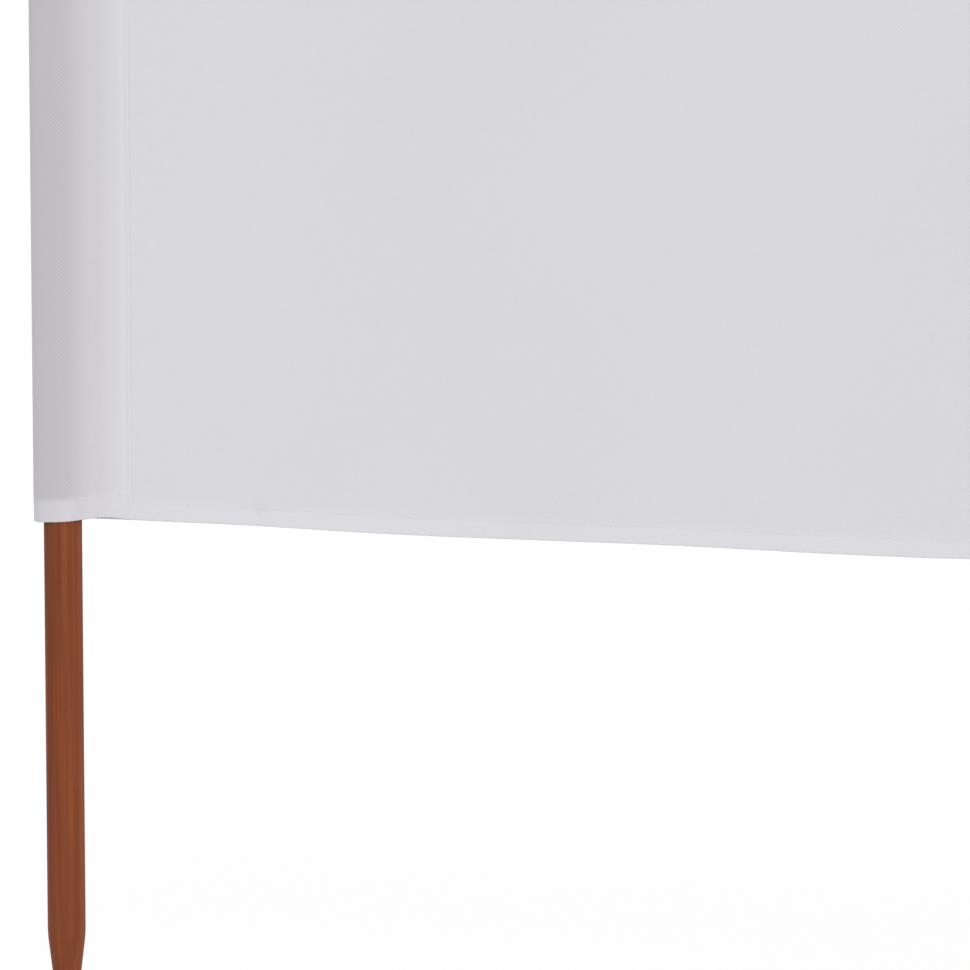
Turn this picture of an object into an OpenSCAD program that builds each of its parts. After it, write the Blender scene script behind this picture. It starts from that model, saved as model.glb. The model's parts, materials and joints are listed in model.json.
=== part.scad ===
// Fabric windbreak: a row of pointed round wooden stakes carrying one long strip of
// woven polyester cloth, hemmed along both edges, with a sewn pocket over each stake.
// Millimetres, Z up. The row runs along X, the pockets face -Y, and the origin is on the
// blunt end of the middle stake's point.

/* [Row] */
// Number of cloth bays, an even number so that one stake is in the middle
bay_count = 4; // [2:2:6]
// Length of the finished cloth, from end fold to end fold
cloth_length = 5330; // [2400:10:8000]

/* [Stakes] */
// Diameter of the round stakes
stake_d = 28; // [22:1:34]
// Length of a stake, point included
stake_length = 1200; // [900:10:1600]
// Length of the turned point
point_length = 97; // [40:1:160]
// Diameter of the blunt end of the point
point_d = 5; // [3:0.5:12]
// Chamfer round the sawn top
top_chamfer = 2; // [0.5:0.5:4]

/* [Cloth] */
// Height of the cloth, from bottom fold to top fold
cloth_height = 800; // [400:10:850]
// Thickness of one layer of cloth
cloth_t = 1; // [0.6:0.1:1.5]
// Height of the turned hems
hem_height = 15; // [8:1:40]
// How far the bottom edge sags in the middle of a bay
bottom_sag = 4; // [0:0.5:20]
// How far the top edge sags in the middle of a bay
top_sag = 6; // [0:0.5:20]

/* [Pockets] */
// Distance from a stake's axis to the sewn edge of its pocket
pocket_reach = 48; // [44:1:80]
// Width of the band where the pocket's front is sewn down
seam_w = 5; // [3:1:10]
// Play between a stake and its pocket
pocket_gap = 1.2; // [0.9:0.1:3]
// Extra width of the fold at either end of the row
fold_slack = 5.8; // [1:0.1:15]
// Rise of the closed top from the front of a stake to the top fold
crown = 5; // [3:0.5:15]
// How far the loose front of an end pocket is drawn up between its stake and its sewn edge
mouth_rise = 3; // [0.5:0.5:8]
// How much deeper the front hem of an end pocket is at its sewn edge than at its stake
hem_flare = 7; // [0.5:0.5:12]

/* [Hidden] */
$fn = 96;
stake_r = stake_d / 2;
stake_count = bay_count + 1;
// Faces and edges of the cloth: it runs flat behind the stakes and hangs from their tops
back_y = stake_r + pocket_gap;
cloth_top = stake_length + crown;
cloth_low = cloth_top - cloth_height;
hem_t = 2 * cloth_t;
// Stakes stand at even distances between the two end folds
fold_reach = fold_slack + back_y + cloth_t;
pitch = (cloth_length - 2 * fold_reach) / bay_count;
bay_w = pitch - 2 * pocket_reach;
// Straight pieces that stand for each sagging edge, and for the arch of a mouth
sag_steps = 24;
arch_steps = 12;
// Room by which cutting shapes overrun the cloth
overrun = 10;
stake_brown = "#86482f";
cloth_white = "#dad9df";
hem_white = "#e2e1e6";

function stake_x(i) = (i - 1 - bay_count / 2) * pitch;
function sag_at(u, sag) = 4 * sag * u * (1 - u);
function edge(z, sag) = [for (i = [0:sag_steps]) let (u = i / sag_steps) [u * bay_w, z - sag_at(u, sag)]];
function reversed(list) = [for (i = [len(list) - 1:-1:0]) list[i]];
// An arch from 0 to 0 that is 1 high a little past its middle
function arch(u) = 1.5 * sqrt(3) * u * (1 - u * u);
// Where a straight line from point p meets the front of a circle about the stake's axis
function touch(r, p) = let (a = atan2(p.y, p.x) - acos(r / norm(p))) [r * cos(a), r * sin(a)];

// One round stake: blunt point, straight shaft and a chamfered sawn top
module stake(i) {
    color(stake_brown)
        translate([stake_x(i), 0, 0])
            rotate_extrude()
                polygon([
                    [0, 0],
                    [point_d / 2, 0],
                    [stake_r, point_length],
                    [stake_r, stake_length - top_chamfer],
                    [stake_r - top_chamfer, stake_length],
                    [0, stake_length]
                ]);
}

// A flat piece of one bay's cloth between two sagging edges, thickened away from the pockets
module bay_piece(i, t, low, low_sag, high, high_sag) {
    translate([stake_x(i) + pocket_reach, back_y + t, 0])
        rotate([90, 0, 0])
            linear_extrude(t)
                polygon(concat(edge(low, low_sag), reversed(edge(high, high_sag))));
}

module cloth_bay(i) {
    color(cloth_white)
        bay_piece(i, cloth_t, cloth_low + hem_height, bottom_sag, cloth_top - hem_height, top_sag);
}

// Hems are turned to the back, so they are flush with the cloth in front
module bottom_hem(i) {
    color(hem_white)
        bay_piece(i, hem_t, cloth_low, bottom_sag, cloth_low + hem_height, bottom_sag);
}

module top_hem(i) {
    color(hem_white)
        bay_piece(i, hem_t, cloth_top - hem_height, top_sag, cloth_top, top_sag);
}

// Pocket section from the stake's axis to the sewn edge; grow 0 gives the hollow inside
module flap_section(grow) {
    sewn = [pocket_reach - seam_w, back_y - grow];
    band = grow > 0 ? [[pocket_reach, back_y - grow], [pocket_reach, back_y + grow]] : [];
    polygon(concat([[0, 0], touch(back_y + grow, sewn), sewn], band, [[0, back_y + grow]]));
}

// Round the stake with a sewn strip on both sides
module middle_section(grow) {
    circle(back_y + grow);
    flap_section(grow);
    mirror([1, 0]) flap_section(grow);
}

// Round the stake with the cloth's end folded over it and sewn down on one side
module end_section(grow) {
    r = back_y + grow;
    flap_section(grow);
    circle(r);
    translate([-fold_slack, 0]) circle(r);
    translate([-fold_slack, -r]) square([fold_slack, 2 * r]);
}

module pocket_section(folded, grow) {
    if (folded) end_section(grow);
    else middle_section(grow);
}

// A stretch of a pocket's sleeve, upwards from a height
module sleeve(folded, grow, from, height) {
    translate([0, 0, from])
        linear_extrude(height) pocket_section(folded, grow);
}

// Side view of a pocket: its top closes towards the back
module pocket_side() {
    front = -back_y - hem_t;
    rotate([90, 0, 90])
        linear_extrude(4 * pocket_reach, center = true)
            polygon([
                [front, cloth_low - overrun],
                [back_y + hem_t, cloth_low - overrun],
                [back_y + hem_t, cloth_top],
                [back_y - hem_t, cloth_top],
                [front, stake_length + cloth_t]
            ]);
}

// Carries a shape drawn from the front through the loose front layer of a pocket
module through_front() {
    translate([0, back_y, 0])
        rotate([90, 0, 0])
            linear_extrude(2 * pocket_reach) children();
}

// Room under the arched lower edge of an end pocket's front
module mouth_arch() {
    low = cloth_low - overrun;
    line = [
        for (i = [0:arch_steps]) let (u = i / arch_steps) [u * pocket_reach, cloth_low + mouth_rise * arch(u)]
    ];
    through_front() polygon(concat(line, [[pocket_reach, low], [0, low]]));
}

// Front hem of an end pocket, turned deeper towards its sewn edge
module flared_hem() {
    low = cloth_low - overrun;
    hem_top = cloth_low + hem_height;
    far = pocket_reach + overrun;
    intersection() {
        sleeve(true, hem_t, cloth_low, hem_height + 2 * hem_flare);
        through_front()
            polygon([[0, low], [far, low], [far, hem_top + hem_flare * far / pocket_reach], [0, hem_top]]);
    }
}

module pocket_body(folded) {
    difference() {
        intersection() {
            union() {
                sleeve(folded, cloth_t, cloth_low, cloth_height + overrun);
                sleeve(folded, hem_t, cloth_low, hem_height);
                sleeve(folded, hem_t, cloth_top - hem_height, hem_height + overrun);
                if (folded) flared_hem();
            }
            pocket_side();
        }
        sleeve(folded, 0, cloth_low - overrun, stake_length - cloth_low + overrun);
        if (folded) mouth_arch();
    }
}

// Both end pockets are folds of the cloth, with the fold on the outside of the row
module pocket(i) {
    color(cloth_white)
        translate([stake_x(i), 0, 0]) {
            if (i == 1) pocket_body(true);
            else if (i == stake_count) mirror([1, 0, 0]) pocket_body(true);
            else pocket_body(false);
        }
}

for (i = [1:stake_count]) {
    stake(i);
    pocket(i);
}
for (i = [1:bay_count]) {
    cloth_bay(i);
    bottom_hem(i);
    top_hem(i);
}
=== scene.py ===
import bisect
import itertools
import json
import math
from collections import namedtuple

import bmesh
import bpy
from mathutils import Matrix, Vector, noise


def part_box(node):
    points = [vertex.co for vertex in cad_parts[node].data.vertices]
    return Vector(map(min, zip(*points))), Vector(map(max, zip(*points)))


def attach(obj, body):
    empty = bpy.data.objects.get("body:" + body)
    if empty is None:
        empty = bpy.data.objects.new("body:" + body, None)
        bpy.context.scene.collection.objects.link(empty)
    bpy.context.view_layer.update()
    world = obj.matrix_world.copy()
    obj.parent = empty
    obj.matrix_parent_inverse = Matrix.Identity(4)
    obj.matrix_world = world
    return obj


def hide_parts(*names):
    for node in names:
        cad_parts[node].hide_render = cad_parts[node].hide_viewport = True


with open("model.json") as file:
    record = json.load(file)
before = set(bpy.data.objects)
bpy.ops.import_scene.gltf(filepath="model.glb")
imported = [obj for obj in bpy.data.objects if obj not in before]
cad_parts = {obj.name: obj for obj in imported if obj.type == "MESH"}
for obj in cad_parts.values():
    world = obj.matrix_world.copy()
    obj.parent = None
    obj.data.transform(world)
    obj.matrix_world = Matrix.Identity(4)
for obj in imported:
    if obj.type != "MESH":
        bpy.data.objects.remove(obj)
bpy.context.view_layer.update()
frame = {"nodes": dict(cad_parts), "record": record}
scene = bpy.context.scene


# Stakes: round softwood dowels, turned to a long blunt point at the lower end, chamfered at the sawn top
# and dipped in reddish-brown wood stain. They stand loose in the pockets of the cloth.
mounts = {m["name"]: m for m in frame["record"]["mounts"]}
stake_names = sorted(n for n in frame["nodes"] if n.startswith("stake_"))
stake_x = [mounts[f"{n}_shaft"]["pos_m"][0] for n in stake_names]
stake_r = mounts["stake_1_shaft"]["dims"]["r_mm"] / 1000
stake_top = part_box("stake_1")[1].z
top_chamfer = 0.002
point_length = stake_top - top_chamfer - mounts["stake_1_shaft"]["dims"]["length_mm"] / 1000
point_r = 0.0025
shoulder_round = 0.005
rim_round = 0.0008
round_steps = 4
stake_sides = 64
nearness = 1e-6
off_axis = 1e-4


def linear(hex_colour):
    """An sRGB colour such as 86482f as linear red, green, blue and alpha."""
    parts = [int(hex_colour[i : i + 2], 16) / 255 for i in (0, 2, 4)]
    return (*[c / 12.92 if c <= 0.04045 else ((c + 0.055) / 1.055) ** 2.4 for c in parts], 1.0)


def add(tree, kind, inputs=None, **settings):
    """Adds a node with its settings; an input is a plain value or the output socket that feeds it."""
    made = tree.nodes.new("ShaderNode" + kind)
    for key, value in settings.items():
        setattr(made, key, value)
    for key, value in (inputs or {}).items():
        if isinstance(value, bpy.types.NodeSocket):
            tree.links.new(value, made.inputs[key])
        else:
            made.inputs[key].default_value = value
    return made


def new_material(name):
    """An empty node material."""
    material = bpy.data.materials.new(name)
    material.use_nodes = True
    material.node_tree.nodes.clear()
    return material


def new_piece(name, bm, material):
    """A smooth-shaded object at the origin from a finished bmesh."""
    for face in bm.faces:
        face.smooth = True
    mesh = bpy.data.meshes.new(name)
    bm.to_mesh(mesh)
    bm.free()
    mesh.materials.append(material)
    piece = bpy.data.objects.new(name, mesh)
    scene.collection.objects.link(piece)
    return piece


# A colour Mix node has its two colours on sockets 6 and 7 and its result on output 2
first, second, mixed = 6, 7, 2

# Stained pine: long streaks of darker late wood follow the stake, with broad patches of tone and short
# pores between them, under a thin satin coat. Each has a width across the grain and a length along it.
streak_w, streak_l = 0.003, 0.2
tone_w, tone_l = 0.009, 0.12
pore_w, pore_l = 0.0007, 0.014
stained_pine = new_material("stained_pine")
tree = stained_pine.node_tree
place = add(tree, "TexCoord").outputs["Object"]
streak_at = add(tree, "Mapping", {"Vector": place, "Scale": (1 / streak_w, 1 / streak_w, 1 / streak_l)})
streaks = add(tree, "TexNoise", {"Vector": streak_at.outputs[0], "Scale": 1.0, "Detail": 3.0})
tone_at = add(tree, "Mapping", {"Vector": place, "Scale": (1 / tone_w, 1 / tone_w, 1 / tone_l)})
tone = add(tree, "TexNoise", {"Vector": tone_at.outputs[0], "Scale": 1.0, "Detail": 2.0})
pore_at = add(tree, "Mapping", {"Vector": place, "Scale": (1 / pore_w, 1 / pore_w, 1 / pore_l)})
pores = add(tree, "TexNoise", {"Vector": pore_at.outputs[0], "Scale": 1.0, "Detail": 1.0})
streak_amount = add(tree, "MapRange", {"Value": streaks.outputs[0], "From Min": 0.38, "From Max": 0.7})
tone_amount = add(tree, "MapRange", {"Value": tone.outputs[0], "From Min": 0.35, "From Max": 0.65})
pore_amount = add(
    tree, "MapRange", {"Value": pores.outputs[0], "From Min": 0.62, "From Max": 0.8, "To Max": 0.4}
)
early_wood = add(
    tree, "Mix",
    {"Factor": tone_amount.outputs[0], first: linear("894926"), second: linear("80422b")},
    data_type="RGBA",
)
late_wood = add(
    tree, "Mix",
    {"Factor": streak_amount.outputs[0], first: early_wood.outputs[mixed], second: linear("753c23")},
    data_type="RGBA",
)
stain = add(
    tree, "Mix",
    {"Factor": pore_amount.outputs[0], first: late_wood.outputs[mixed], second: linear("5c2b19")},
    data_type="RGBA",
)
roughness = add(tree, "MapRange", {"Value": streaks.outputs[0], "To Min": 0.5, "To Max": 0.66})
grain_bump = add(tree, "Bump", {"Strength": 0.35, "Distance": 0.0002, "Height": streaks.outputs[0]})
pine = add(
    tree, "BsdfPrincipled",
    {"Base Color": stain.outputs[mixed], "Roughness": roughness.outputs[0], "Normal": grain_bump.outputs[0],
     "IOR": 1.45, "Specular IOR Level": 0.15},
)
add(tree, "OutputMaterial", {"Surface": pine.outputs[0]})

for name, x in zip(stake_names, stake_x):
    bm = bmesh.new()
    outline = [
        (0, 0), (point_r, 0), (stake_r, point_length), (stake_r, stake_top - top_chamfer),
        (stake_r - top_chamfer, stake_top), (0, stake_top),
    ]
    corners = [bm.verts.new((x + r, 0, z)) for r, z in outline]
    sides = [bm.edges.new(pair) for pair in zip(corners, corners[1:])]
    bmesh.ops.spin(
        bm, geom=corners + sides, cent=(x, 0, 0), axis=(0, 0, 1),
        angle=math.tau, steps=stake_sides, use_merge=True,
    )
    bmesh.ops.remove_doubles(bm, verts=bm.verts, dist=nearness)
    bmesh.ops.recalc_face_normals(bm, faces=bm.faces)
    for level, size in ((point_length, shoulder_round), (0, rim_round), (stake_top, rim_round)):
        ring = [
            e for e in bm.edges
            if all(
                abs(v.co.z - level) < nearness and math.hypot(v.co.x - x, v.co.y) > off_axis
                for v in e.verts
            )
        ]
        bmesh.ops.bevel(
            bm, geom=ring, offset=size, segments=round_steps, profile=0.5, affect="EDGES", material=-1
        )
    stake = new_piece(f"{name}_turned", bm, stained_pine)
    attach(stake, "root")
    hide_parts(name)


# Cloth: one strip of plain-woven white polyester runs behind all the stakes. Its long edges are cut hot,
# which seals them thin, and are turned to the back and stitched. At both ends it is folded to the front
# round the last stake, and its side edge is turned under and sewn down.
cloth_t = 0.0002
sealed_edge = 0.2
sealed_rows = 2
layer_gap = 0.00022
hem = 0.015
hem_fade = 0.003
hem_stitches = 0.0128
hem_groove = 0.06
edge_turned = 0.008
edge_fade = 0.0015
seam_stitches = 0.0024
sewn_width = 0.0055
low_sag = 0.004
top_sag = 0.006
bay_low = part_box("bottom_hem_1")[0]
cloth_low = bay_low.z + low_sag
cloth_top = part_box("pocket_1")[1].z
height = cloth_top - cloth_low
pitch = stake_x[1] - stake_x[0]
pocket_reach = bay_low.x - stake_x[0]
bay_width = pitch - 2 * pocket_reach
play_behind = 0.001
play_in_front = 0.0007
back_y = stake_r + play_behind
wrap_r = stake_r + play_in_front
fold_reach = 0.0216
# The loose front of an end pocket is drawn up beside the stake and comes down again to its sewn edge. Its
# hem is turned deeper towards that edge, and there it is painted less white and with more of the stake's
# painted shade.
mouth_rise = 0.0036
mouth_down = 0.95
down_from, down_to = 0.020, 0.046
hem_flare = 0.0075
hem_painted_darker = 0.58
darker_from, darker_to = 0.4, 0.6
# The fold is drawn in a little at its lower corner and comes out again between two heights. The hem there
# gets up to half less of the stake's painted shade.
fold_drawn_in = 0.0005
drawn_in_from = 0.010
corner_low, corner_high = 0.004, 0.022
fold_hem_shade_off = 0.5

# A point of the cloth's plan: its place beside the stake, how far its lower edge and the top of its hem
# rise, how far its lower corner is drawn in, how much painted shade of the stake and its pocket lies on it,
# its share of the hem's thickness, and whether a side edge is turned under it
PlanPoint = namedtuple("PlanPoint", "x y rise hem_rise drawn_in shown hem_share double")


def smooth(low, high, value):
    """0 below low, 1 above high, and an even curve between them."""
    t = min(max((value - low) / (high - low), 0.0), 1.0)
    return t * t * (3 - 2 * t)


def stake_shade_in_front(x):
    """How much painted shade lies on a pocket's front, by the distance beside the stake's axis: most over
    the stake itself, which blocks the light through the cloth, about half for the shadow inside the pocket
    beside it, little near the seam, and less out in the fold where the cloth has left the stake."""
    if x < 0:
        lost_in_fold = 0.35 * smooth(0.006, 0.018, -x)
        return 0.79 - lost_in_fold
    over_stake = 0.8 + 0.1 * smooth(0, 0.007, x)
    lost_beside = 0.4 * smooth(0.007, 0.023, x)
    lost_at_seam = 0.35 * smooth(0.025, 0.042, x)
    return over_stake - lost_beside - lost_at_seam


def front_half():
    """A pocket's front from its turned-under edge at +X to the foremost line of the stake."""
    # Distance from the sewn edge and depth: the part turned under, then the outside with its seam's groove
    under, over = back_y - layer_gap, back_y - 2 * layer_gap
    tucked = [(edge_turned, under), (edge_turned / 2, under), (0.0003, under)]
    outside = [
        (0.0, (under + over) / 2), (0.00015, over + 0.00004), (0.0004, over), (0.0009, over),
        (seam_stitches, over + 0.00006), (0.0036, over), (sewn_width, over - 0.0001),
    ]
    line = [Vector((pocket_reach - from_edge, y)) for from_edge, y in tucked + outside]
    # From the sewn band one curve swings out to the stake and meets it 48 degrees in front of its side
    lands = math.radians(-48)
    on_stake = Vector((math.cos(lands), math.sin(lands))) * wrap_r
    leaving = Vector((-math.sin(lands), math.cos(lands)))
    band_pull = Vector((0.014, 0.0005))
    stake_pull = 0.017
    p0, p3 = line[-1], on_stake
    p1, p2 = p0 - band_pull, on_stake + leaving * stake_pull
    curve_steps = 14
    for k in range(1, curve_steps + 1):
        t = k / curve_steps
        line.append(p0 * (1 - t) ** 3 + p1 * 3 * t * (1 - t) ** 2 + p2 * 3 * t * t * (1 - t) + p3 * t**3)
    wrap_steps = 6
    for k in range(1, wrap_steps + 1):
        angle = lands - (lands + math.pi / 2) * k / wrap_steps
        line.append(Vector((math.cos(angle), math.sin(angle))) * wrap_r)
    # The hem is pressed thin at the sewn edge, and there is none in the part that is turned under
    pressed_share = 0.3
    pressed_width = 0.006
    points = []
    for i, p in enumerate(line):
        from_edge = pocket_reach - p.x
        hem_share = pressed_share + (1 - pressed_share) * smooth(0, pressed_width, from_edge)
        if i < len(tucked):
            hem_share = 0.0
        double = 1 - smooth(edge_turned - edge_fade, edge_turned + edge_fade, from_edge)
        points.append(PlanPoint(p.x, p.y, 0.0, 0.0, 0.0, stake_shade_in_front(p.x), hem_share, double))
    return points


def flat_cloth(start, end, step=0.005):
    """The cloth behind the stakes, with the nearest stake's shade painted on it where it shows through to
    the back.
    """
    count = round((end - start) / step)
    back_shade_most = 0.6
    back_shade_width = 0.010
    points = []
    for k in range(count + 1):
        x = start + (end - start) * k / count
        from_stake = min(abs(x), abs(pitch - x))
        shown = back_shade_most * math.exp(-((from_stake / back_shade_width) ** 2))
        points.append(PlanPoint(x, back_y, 0.0, 0.0, 0.0, shown, 1.0, 0.0))
    return points


def front_rises(x):
    """How far an end pocket's front rises at its lower edge and at the top of its hem."""
    share = (x + fold_reach) / (pocket_reach + fold_reach)
    comes_down = mouth_down * smooth(down_from, down_to, x)
    return mouth_rise * share * (1 - comes_down), hem_flare * share


def end_plan():
    """The fold at the left end with its whole bay, up to the line behind the next stake."""
    points = []
    for p in front_half():
        rise, hem_rise = front_rises(p.x)
        points.append(p._replace(rise=rise, hem_rise=hem_rise))
    # Past the stake the cloth runs straight for half its radius, then turns back in half an ellipse
    turn_x = -stake_r / 2
    turn_steps = 16
    flat_from = turn_x + 0.004
    for k in range(-1, turn_steps + 1):
        angle = math.pi * max(k, 0) / turn_steps
        x = turn_x / 2 if k < 0 else turn_x - (fold_reach + turn_x) * math.sin(angle)
        y = (back_y - wrap_r) / 2 - (back_y + wrap_r) / 2 * math.cos(angle)
        rise, hem_rise = front_rises(x) if angle < math.pi / 2 else (0.0, 0.0)
        drawn_in = fold_drawn_in * smooth(drawn_in_from, fold_reach, -x)
        points.append(PlanPoint(x, y, rise, hem_rise, drawn_in, stake_shade_in_front(x), 1.0, 0.0))
    return points + flat_cloth(flat_from, pitch)


# Rows of a sheet from its lower cut edge upwards: height above the bottom fold, and how many layers the
# cloth stands off its face there. The stitching pulls the layers together in a shallow groove.
turned_part = [
    (hem, 0.6), (hem - 0.001, 0.8), (hem_stitches, 1 - hem_groove), (0.010, 1.0), (0.005, 1.0),
    (0.0012, 0.98), (0.0003, 0.85),
]
face_part = [
    (0.0, 0.5), (0.0003, 0.15), (0.0012, 0.02), (0.005, 0.0), (0.010, 0.0), (hem_stitches, hem_groove),
    (hem + 0.0005, 0.0), (hem + 0.002, 0.0), (hem + 0.004, 0.0),
]
# At the top, more rows follow the curve over the stakes' ends
crown_rows = [0.0118, 0.0085, 0.0068, 0.003]
top_turned_part = sorted(turned_part + [(z, 1.0) for z in crown_rows], reverse=True)
top_face_part = sorted(face_part + [(z, 0.0) for z in crown_rows])
# Between the hems the rows are a little closer near the hems and at half height
field_rows = 66
rows_closer = 0.06
rows = turned_part + face_part
for k in range(1, field_rows):
    t = k / field_rows
    t -= rows_closer * math.sin(2 * math.tau * t) / math.tau
    rows.append((hem + (height - 2 * hem) * t, 0.0))
rows += [(height - z, lift) for z, lift in reversed(top_turned_part + top_face_part)]

# Over a stake the front of a pocket runs up to the sawn top and then back across it to the top fold: each
# entry is the distance below the top fold, the share of the way to the back, and the height it reaches.
crown = [
    (0.0, 1.0, cloth_top), (0.003, 0.75, stake_top + 0.0038), (0.0068, 0.28, stake_top + 0.0018),
    (0.0085, 0.07, stake_top + 0.0008), (0.010, 0.01, stake_top - 0.0012),
    (0.0118, 0.0, stake_top - 0.0046), (0.0165, 0.0, stake_top - 0.0115), (0.024, 0.0, stake_top - 0.019),
]


def crown_at(below):
    """Share of the way to the back, and height, at a distance below the top fold."""
    for (b0, share0, z0), (b1, share1, z1) in zip(crown, crown[1:]):
        if below <= b1:
            t = (below - b0) / (b1 - b0)
            return share0 + (share1 - share0) * t, z0 + (z1 - z0) * t
    return 0.0, cloth_top - below


# Slack of the cloth in a bay: how deep each form is, the size of its waves, and how far it reaches in from
# an edge. Each bay has its own turn of every form.
belly_depth, belly_varies = 0.005, 0.002
wave_depth, wave_w, wave_h = 0.0016, 0.28, 0.42
lower_depth, lower_w, lower_reach = 0.0022, 0.13, 0.08
upper_depth, upper_w, upper_reach = 0.0030, 0.17, 0.12
pucker_depth, pucker_w, pucker_h, pucker_reach = 0.0004, 0.025, 0.03, 0.02
# Small tucks that the needle has gathered in the lower hem of each bay, by distance from the pocket's edge
hem_tucks = [(0.0935, 0.760), (0.310, 0.930), (0.180, 0.660), (0.440, 1.020)]
tuck_depth, tuck_w, tuck_h, tuck_middle = 0.0026, 0.005, 0.0024, 0.0108
# A shallow wave along the lower edge
edge_wave, edge_wave_length, edge_wave_at = 0.0007, 0.343, 0.392
# Share of a bay's width over which the pockets still hold the cloth flat
held_share = 0.1


def freedom(u):
    """0 at the pockets on either side of a bay and 1 where they no longer hold the cloth flat."""
    return smooth(0, held_share, u) * smooth(0, held_share, 1 - u)


def slack(u, h, bay):
    """How far the cloth of a bay stands behind its flat plane: a slight belly, soft waves, loose edges."""
    if u <= 0 or u >= 1:
        return 0.0
    x = u * bay_width
    from_top = height - h
    fullness = math.sin(math.pi * u) ** 2 * (0.6 + 0.4 * math.sin(math.pi * h / height))
    belly = -(belly_depth + belly_varies * math.sin(2.1 * bay)) * fullness
    waves = wave_depth * noise.noise(Vector((x / wave_w, h / wave_h, 2.7 * bay + 0.4)))
    lower = lower_depth * noise.noise(Vector((x / lower_w, 3.1 * bay, 0.5)))
    upper = upper_depth * noise.noise(Vector((x / upper_w, 3.1 * bay, 7.5)))
    pucker = pucker_depth * noise.noise(Vector((x / pucker_w, h / pucker_h, 5.2 * bay)))
    edges = lower * math.exp(-h / lower_reach) + upper * math.exp(-from_top / upper_reach)
    edges += pucker * math.exp(-min(h, from_top) / pucker_reach)
    for at in hem_tucks[bay]:
        edges += tuck_depth * math.exp(-(((x - at) / tuck_w) ** 2) - ((h - tuck_middle) / tuck_h) ** 2)
    return belly + freedom(u) * (waves + edges)


class Surface:
    """The cloth over a plan: lengths of its points along it, and places by length and height."""

    def __init__(self, plan, x0, bay):
        self.plan, self.x0, self.bay = plan, x0, bay
        self.lengths = [0.0]
        for a, b in zip(plan, plan[1:]):
            self.lengths.append(self.lengths[-1] + math.dist(a[:2], b[:2]))

    def at(self, s):
        """The plan's point at a length."""
        i = min(max(bisect.bisect_right(self.lengths, s) - 1, 0), len(self.plan) - 2)
        t = (s - self.lengths[i]) / (self.lengths[i + 1] - self.lengths[i])
        return PlanPoint(*(a + (b - a) * t for a, b in zip(self.plan[i], self.plan[i + 1])))

    def point(self, s, h):
        """The place on the cloth's face at a length along the plan and a height above the bottom fold."""
        p = self.at(s)
        x, y = p.x + p.drawn_in * (1 - smooth(corner_low, corner_high, h)), p.y
        u = min(max((x - pocket_reach) / bay_width, 0.0), 1.0)
        sag = 4 * u * (1 - u)
        wave = math.cos(math.tau * (u * bay_width - edge_wave_at) / edge_wave_length + 1.9 * self.bay)
        low = cloth_low - low_sag * sag + edge_wave * freedom(u) * wave
        rise = p.rise + (p.hem_rise - p.rise) * min(h / hem, 1.0)
        z = low + (cloth_top - top_sag * sag - low) * h / height + rise * (1 - h / height)
        # Near the top the front goes back over the stake's end. Its layers part within an eighth of the way
        # from the back to the front, and from a third of the way on it has the crown's height.
        front = min(max((back_y - y) / (back_y + wrap_r), 0.0), 1.0)
        if front > 0 and h > height - crown[-1][0]:
            share, crown_z = crown_at(height - h)
            y += (back_y - 2 * layer_gap * min(1.0, 8 * front) - y) * share
            z += (crown_z - z) * min(1.0, 3 * front)
        return Vector((self.x0 + x, y + slack(u, h, self.bay), z))

    def spot(self, s, h):
        """A place on the cloth and the direction there to the turned side of its hems."""
        ds, dh = 0.0008, 0.0006
        along = self.point(min(s + ds, self.lengths[-1]), h) - self.point(max(s - ds, 0.0), h)
        up = self.point(s, min(h + dh, height)) - self.point(s, max(h - dh, 0.0))
        return self.point(s, h), up.cross(along).normalized()


def new_sheet(name, surface, material):
    """A sheet of cloth with turned hems. Its attributes hold the place on the cut cloth, how much painted
    shade of a stake and its pocket lies on it, and where it is double. Its vertex group thins it towards
    the sealed edges."""
    columns = len(surface.plan)
    bm = bmesh.new()
    cut = bm.verts.layers.float_vector.new("cut")
    # Painted shade of the stakes and of the shadow inside the pockets
    shown = bm.verts.layers.float.new("painted_stake_shade")
    double = bm.verts.layers.float.new("double")
    groups = bm.verts.layers.deform.verify()
    bmesh.ops.create_grid(bm, x_segments=columns - 1, y_segments=len(rows) - 1, size=1)
    bm.verts.ensure_lookup_table()
    for r, (h, lift) in enumerate(rows):
        in_hem = 1 - smooth(hem - hem_fade, hem + hem_fade, min(h, height - h))
        rows_from_edge = min(r, len(rows) - 1 - r)
        for c, (s, p) in enumerate(zip(surface.lengths, surface.plan)):
            where, normal = surface.spot(s, h)
            vert = bm.verts[r * columns + c]
            vert.co = where + normal * lift * layer_gap * p.hem_share
            # Less painted shade of the stake on the hem at the fold's drawn-in corner
            shade_off = fold_hem_shade_off * abs(p.drawn_in) / fold_drawn_in
            vert[shown] = p.shown * (1 - in_hem * shade_off)
            # Towards the sewn edge the hem is painted darker: less white, with more painted shade of the
            # stake
            hem_darkened = hem_painted_darker * smooth(darker_from, darker_to, p.hem_rise / hem_flare)
            vert[double] = max(in_hem * (1 - hem_darkened), p.double)
            vert[groups][0] = min(rows_from_edge / sealed_rows, 1.0)
    for c, s in enumerate(surface.lengths):
        column = [bm.verts[r * columns + c] for r in range(len(rows))]
        steps = [(b.co - a.co).length for a, b in zip(column, column[1:])]
        runs = list(itertools.accumulate(steps, initial=0.0))
        for vert, run in zip(column, runs):
            vert[cut] = (s, run - runs[len(rows) // 2], 0.0)
    bmesh.ops.recalc_face_normals(bm, faces=bm.faces)
    sheet = new_piece(name, bm, material)
    sheet.vertex_groups.new(name="full_thickness")
    thickness = sheet.modifiers.new("thickness", "SOLIDIFY")
    thickness.thickness = cloth_t
    thickness.offset = 0.0
    thickness.vertex_group = "full_thickness"
    thickness.thickness_vertex_group = sealed_edge
    return sheet
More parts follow.
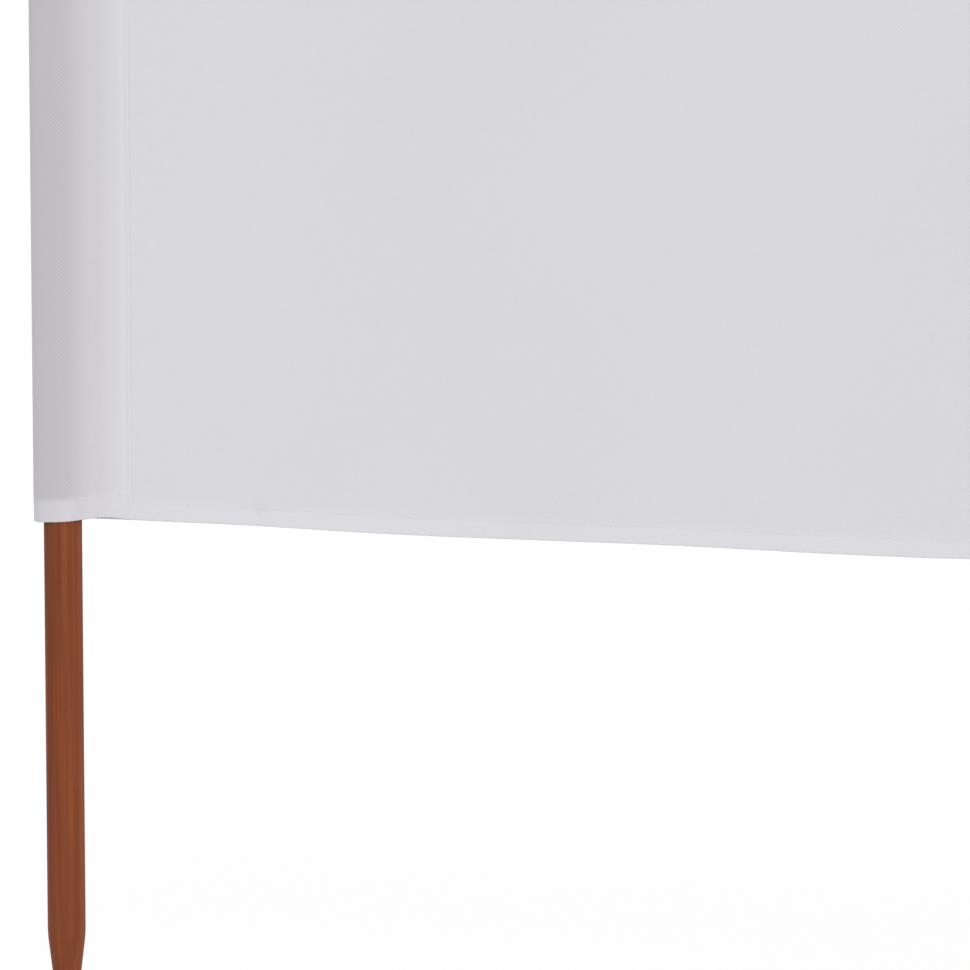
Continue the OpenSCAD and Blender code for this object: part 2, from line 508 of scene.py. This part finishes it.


# Plain-woven polyester: two sets of even threads make a fine check, which is drawn at 1.5 mm instead of the
# real 0.4 mm so that it shows. It is matt and thin; where a stake stands behind it, and inside a pocket
# beside a stake, its shade is painted in as a warm grey, strongest between the threads, and the cloth is
# whiter where it lies double. Thicker lengths of yarn and faint clouds vary it.
thread_drawn = 0.0015
yarn_l, yarn_w = 0.05, 0.0018
cloud_size = 0.3
polyester = new_material("woven_polyester")
tree = polyester.node_tree
cut_place = add(tree, "Attribute", attribute_name="cut").outputs["Vector"]
painted_stake_shade = add(tree, "Attribute", attribute_name="painted_stake_shade").outputs["Fac"]
double_cloth = add(tree, "Attribute", attribute_name="double").outputs["Fac"]
across = add(tree, "SeparateXYZ", {0: cut_place})
warp_turn = add(tree, "Math", {0: across.outputs[0], 1: math.pi / thread_drawn}, operation="MULTIPLY")
weft_turn = add(tree, "Math", {0: across.outputs[1], 1: math.pi / thread_drawn}, operation="MULTIPLY")
warp = add(tree, "Math", {0: warp_turn.outputs[0]}, operation="SINE")
weft = add(tree, "Math", {0: weft_turn.outputs[0]}, operation="SINE")
weave = add(tree, "Math", {0: warp.outputs[0], 1: weft.outputs[0]}, operation="MULTIPLY")
yarn_at = add(tree, "Mapping", {"Vector": cut_place, "Scale": (1 / yarn_l, 1 / yarn_w, 1)})
yarn = add(tree, "TexNoise", {"Vector": yarn_at.outputs[0], "Scale": 1.0, "Detail": 1.0})
cloud_at = add(tree, "Mapping", {"Vector": cut_place, "Scale": (1 / cloud_size, 1 / cloud_size, 1)})
cloud = add(tree, "TexNoise", {"Vector": cloud_at.outputs[0], "Scale": 1.0, "Detail": 2.0})
cloud_amount = add(tree, "MapRange", {"Value": cloud.outputs[0], "From Min": 0.3, "From Max": 0.7})
plain = add(
    tree, "Mix",
    {"Factor": cloud_amount.outputs[0], first: linear("dbdadf"), second: linear("d8d8dd")},
    data_type="RGBA",
)
thread_shade = add(tree, "MapRange", {"Value": weave.outputs[0], "From Min": -1.0, "To Max": 0.22})
threads = add(
    tree, "Mix",
    {"Factor": thread_shade.outputs[0], first: plain.outputs[mixed], second: linear("cecdd3")},
    data_type="RGBA",
)
whiter = add(tree, "Math", {0: double_cloth, 1: 0.27}, operation="MULTIPLY")
layered = add(
    tree, "Mix",
    {"Factor": whiter.outputs[0], first: threads.outputs[mixed], second: linear("e4e3e9")},
    data_type="RGBA",
)
between = add(
    tree, "MapRange", {"Value": weave.outputs[0], "From Min": -1.0, "To Min": 0.72, "To Max": 1.0}
)
# Painted shade: a stake behind the cloth and the shadow inside a pocket turn it towards a warm grey, less
# where it lies double and most between the threads
through = add(tree, "MapRange", {"Value": double_cloth, "To Min": 0.66, "To Max": 0.33})
shown = add(tree, "Math", {0: painted_stake_shade, 1: through.outputs[0]}, operation="MULTIPLY")
shade_between_threads = add(tree, "Math", {0: shown.outputs[0], 1: between.outputs[0]}, operation="MULTIPLY")
cloth_colour = add(
    tree, "Mix",
    {"Factor": shade_between_threads.outputs[0], first: layered.outputs[mixed], second: linear("9c939a")},
    data_type="RGBA",
)
relief = add(tree, "Math", {0: weave.outputs[0], 1: yarn.outputs[0]}, operation="ADD")
weave_bump = add(tree, "Bump", {"Strength": 0.25, "Distance": 0.00015, "Height": relief.outputs[0]})
fabric = add(
    tree, "BsdfPrincipled",
    {"Base Color": cloth_colour.outputs[mixed], "Roughness": 0.85, "Normal": weave_bump.outputs[0],
     "IOR": 1.5, "Specular IOR Level": 0.2, "Sheen Weight": 0.25, "Sheen Roughness": 0.5},
)
add(tree, "OutputMaterial", {"Surface": fabric.outputs[0]})

# Spun polyester sewing thread: twisted and slightly fuzzy, a shade whiter than the cloth. A stitch fills
# most of the way between two needle holes.
stitch_pitch = 0.0034
stitch_fill = 0.9
thread_r = 0.00016
twist_size = 0.0006
sewing_thread = new_material("polyester_thread")
tree = sewing_thread.node_tree
place = add(tree, "TexCoord").outputs["Object"]
twist = add(tree, "TexNoise", {"Vector": place, "Scale": 1 / twist_size, "Detail": 1.0})
twist_amount = add(tree, "MapRange", {"Value": twist.outputs[0], "From Min": 0.35, "From Max": 0.65})
spun = add(
    tree, "Mix",
    {"Factor": twist_amount.outputs[0], first: linear("dfdee3"), second: linear("d3d2d8")},
    data_type="RGBA",
)
twist_bump = add(tree, "Bump", {"Strength": 0.4, "Distance": 0.0001, "Height": twist.outputs[0]})
thread = add(
    tree, "BsdfPrincipled",
    {"Base Color": spun.outputs[mixed], "Roughness": 0.7, "Normal": twist_bump.outputs[0],
     "Specular IOR Level": 0.25},
)
add(tree, "OutputMaterial", {"Surface": thread.outputs[0]})


def hem_row(surface, s0, s1, h, side):
    """Needle holes along a hem, on its turned side (1) or on the cloth's face (-1)."""
    count = round((s1 - s0) / stitch_pitch)
    holes = []
    for k in range(count + 1):
        s = s0 + (s1 - s0) * k / count
        where, normal = surface.spot(s, h)
        layers = 1 - hem_groove if side > 0 else hem_groove
        lift = layers * layer_gap * surface.at(s).hem_share
        holes.append((where + normal * (lift + side * cloth_t / 2), normal * side))
    return holes


def seam_row(surface, s):
    """Needle holes up a pocket's seam, on the turned side of the cloth."""
    margin = 0.003
    count = round((height - 2 * margin) / stitch_pitch)
    holes = []
    for k in range(count + 1):
        h = margin + (height - 2 * margin) * k / count
        where, normal = surface.spot(s, h)
        lift = layer_gap * surface.at(s).hem_share if min(h, height - h) < hem else 0.0
        holes.append((where + normal * (lift + cloth_t / 2), normal))
    return holes


def new_stitching(name, stitch_rows):
    """Rows of stitches, each a short rounded dash between two needle holes."""
    ball = bmesh.new()
    bmesh.ops.create_icosphere(ball, subdivisions=1, radius=1)
    shape = [v.co.copy() for v in ball.verts]
    shape_faces = [[v.index for v in f.verts] for f in ball.faces]
    ball.free()
    places, faces = [], []
    for holes in stitch_rows:
        for (a, out_a), (b, out_b) in zip(holes, holes[1:]):
            half = (b - a) * (stitch_fill / 2)
            out = (out_a + out_b).normalized() * thread_r
            side = half.cross(out).normalized() * thread_r
            begin = len(places)
            places += [(a + b) / 2 + half * v.x + out * v.y + side * v.z for v in shape]
            faces += [[begin + i for i in face] for face in shape_faces]
    mesh = bpy.data.meshes.new(name)
    mesh.from_pydata(places, [], faces)
    mesh.shade_smooth()
    mesh.materials.append(sewing_thread)
    stitching = bpy.data.objects.new(name, mesh)
    scene.collection.objects.link(stitching)
    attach(stitching, "root")
    return stitching


bay_count = len(stake_x) - 1
hem_heights = (hem_stitches, height - hem_stitches)
seam_at = pocket_reach - seam_stitches
for bay in range(bay_count):
    covered = [f"{part}_{bay + 1}" for part in ("cloth_bay", "bottom_hem", "top_hem")]
    plan = flat_cloth(0, pitch)
    if bay in (0, bay_count - 1):
        plan = end_plan()
        covered.append("pocket_1" if bay == 0 else f"pocket_{len(stake_x)}")
    if bay == bay_count - 1:
        plan = [p._replace(x=pitch - p.x, drawn_in=-p.drawn_in) for p in reversed(plan)]
    surface = Surface(plan, stake_x[bay], bay)
    cloth = new_sheet(f"cloth_{bay + 1}", surface, polyester)
    length = surface.lengths[-1]
    starts, ends = 0.0, length
    seams = [length - seam_at, seam_at]
    if bay == 0:
        starts = 2 * edge_turned
        seams = [length - seam_at, length - pitch + seam_at, edge_turned + seam_stitches]
    if bay == bay_count - 1:
        ends = length - 2 * edge_turned
        seams = [seam_at, pitch - seam_at, length - edge_turned - seam_stitches]
    stitch_rows = [hem_row(surface, starts, ends, h, side) for h in hem_heights for side in (1, -1)]
    stitch_rows += [seam_row(surface, s) for s in seams]
    stitching = new_stitching(f"cloth_{bay + 1}_stitching", stitch_rows)
    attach(cloth, "root")
    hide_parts(*covered)


# Pocket strips: a hemmed strip of the same cloth is laid over each middle stake from the front, its side
# edges are turned under, and it is sewn to the long cloth on both sides of the stake.
right_half = front_half()
strip_plan = right_half + [p._replace(x=-p.x) for p in reversed(right_half[:-1])]
for i in range(1, bay_count):
    surface = Surface(strip_plan, stake_x[i], 0)
    strip = new_sheet(f"pocket_strip_{i + 1}", surface, polyester)
    length = surface.lengths[-1]
    stitch_rows = [hem_row(surface, 2 * edge_turned, length - 2 * edge_turned, h, 1) for h in hem_heights]
    stitch_rows += [
        seam_row(surface, s) for s in (edge_turned + seam_stitches, length - edge_turned - seam_stitches)
    ]
    stitching = new_stitching(f"pocket_strip_{i + 1}_stitching", stitch_rows)
    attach(strip, "root")
    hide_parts(f"pocket_{i + 1}")


# Studio: a plain white floor under the points of the stakes, an even white surround and soft light from the
# front right. To the camera the floor glows white for the most part and keeps a faint shadow.
floor_half = 300
glow_strength = 1.065
glow_part = 0.8
surround_light = 0.6


def seen_directly(tree):
    """1 for what the camera sees, also in or through another surface, and 0 for what only gives light."""
    ray = add(tree, "LightPath").outputs
    seen = add(tree, "Math", {0: ray["Is Camera Ray"], 1: ray["Is Glossy Ray"]}, operation="MAXIMUM")
    seen = add(tree, "Math", {0: seen.outputs[0], 1: ray["Is Transmission Ray"]}, operation="MAXIMUM")
    return seen.outputs[0]


bm = bmesh.new()
bmesh.ops.create_grid(bm, x_segments=1, y_segments=1, size=floor_half)
white_floor = new_material("white_floor")
floor = new_piece("floor", bm, white_floor)
tree = white_floor.node_tree
paper = add(tree, "BsdfDiffuse", {"Color": linear("ededed")})
glow = add(tree, "Emission", {"Strength": glow_strength})
glow_share = add(tree, "Math", {0: seen_directly(tree), 1: glow_part}, operation="MULTIPLY")
both = add(tree, "MixShader", {0: glow_share.outputs[0], 1: paper.outputs[0], 2: glow.outputs[0]})
add(tree, "OutputMaterial", {"Surface": both.outputs[0]})

world = bpy.data.worlds.new("white_surround")
world.use_nodes = True
scene.world = world
tree = world.node_tree
tree.nodes.clear()
level = add(tree, "MapRange", {"Value": seen_directly(tree), "To Min": surround_light, "To Max": 1.0})
surround = add(tree, "Background", {"Color": (1, 1, 1, 1), "Strength": level.outputs[0]})
add(tree, "OutputWorld", {"Surface": surround.outputs[0]})

# Each lamp: strength, spread in degrees, and the bearing and height in degrees that its light comes from
for name, strength, spread, bearing, rise in (
    ("key_light", 1.45, 50, 38, 38),
    ("back_light", 0.5, 80, 190, 40),
):
    lamp = bpy.data.lights.new(name, "SUN")
    lamp.energy = strength
    lamp.angle = math.radians(spread)
    holder = bpy.data.objects.new(name, lamp)
    scene.collection.objects.link(holder)
    holder.rotation_euler = (math.radians(90 - rise), 0, math.radians(bearing))

# Camera: a long lens about 5 m from the end stake, a little above the cloth, looking at its lower corner.
# In degrees, it is tilted down from level and turned to the left from straight at the cloth.
camera_tilt, camera_turn = 8.89, 13.567
camera_data = bpy.data.cameras.new("camera")
camera_data.sensor_width = 36
camera_data.lens = 260
camera_data.clip_end = 1000
camera = bpy.data.objects.new("camera", camera_data)
scene.collection.objects.link(camera)
camera.location = (-1.1572, -4.8418, 1.222)
camera.rotation_euler = (math.radians(90 - camera_tilt), 0, math.radians(camera_turn))
scene.camera = camera
scene.view_settings.view_transform = "Standard"
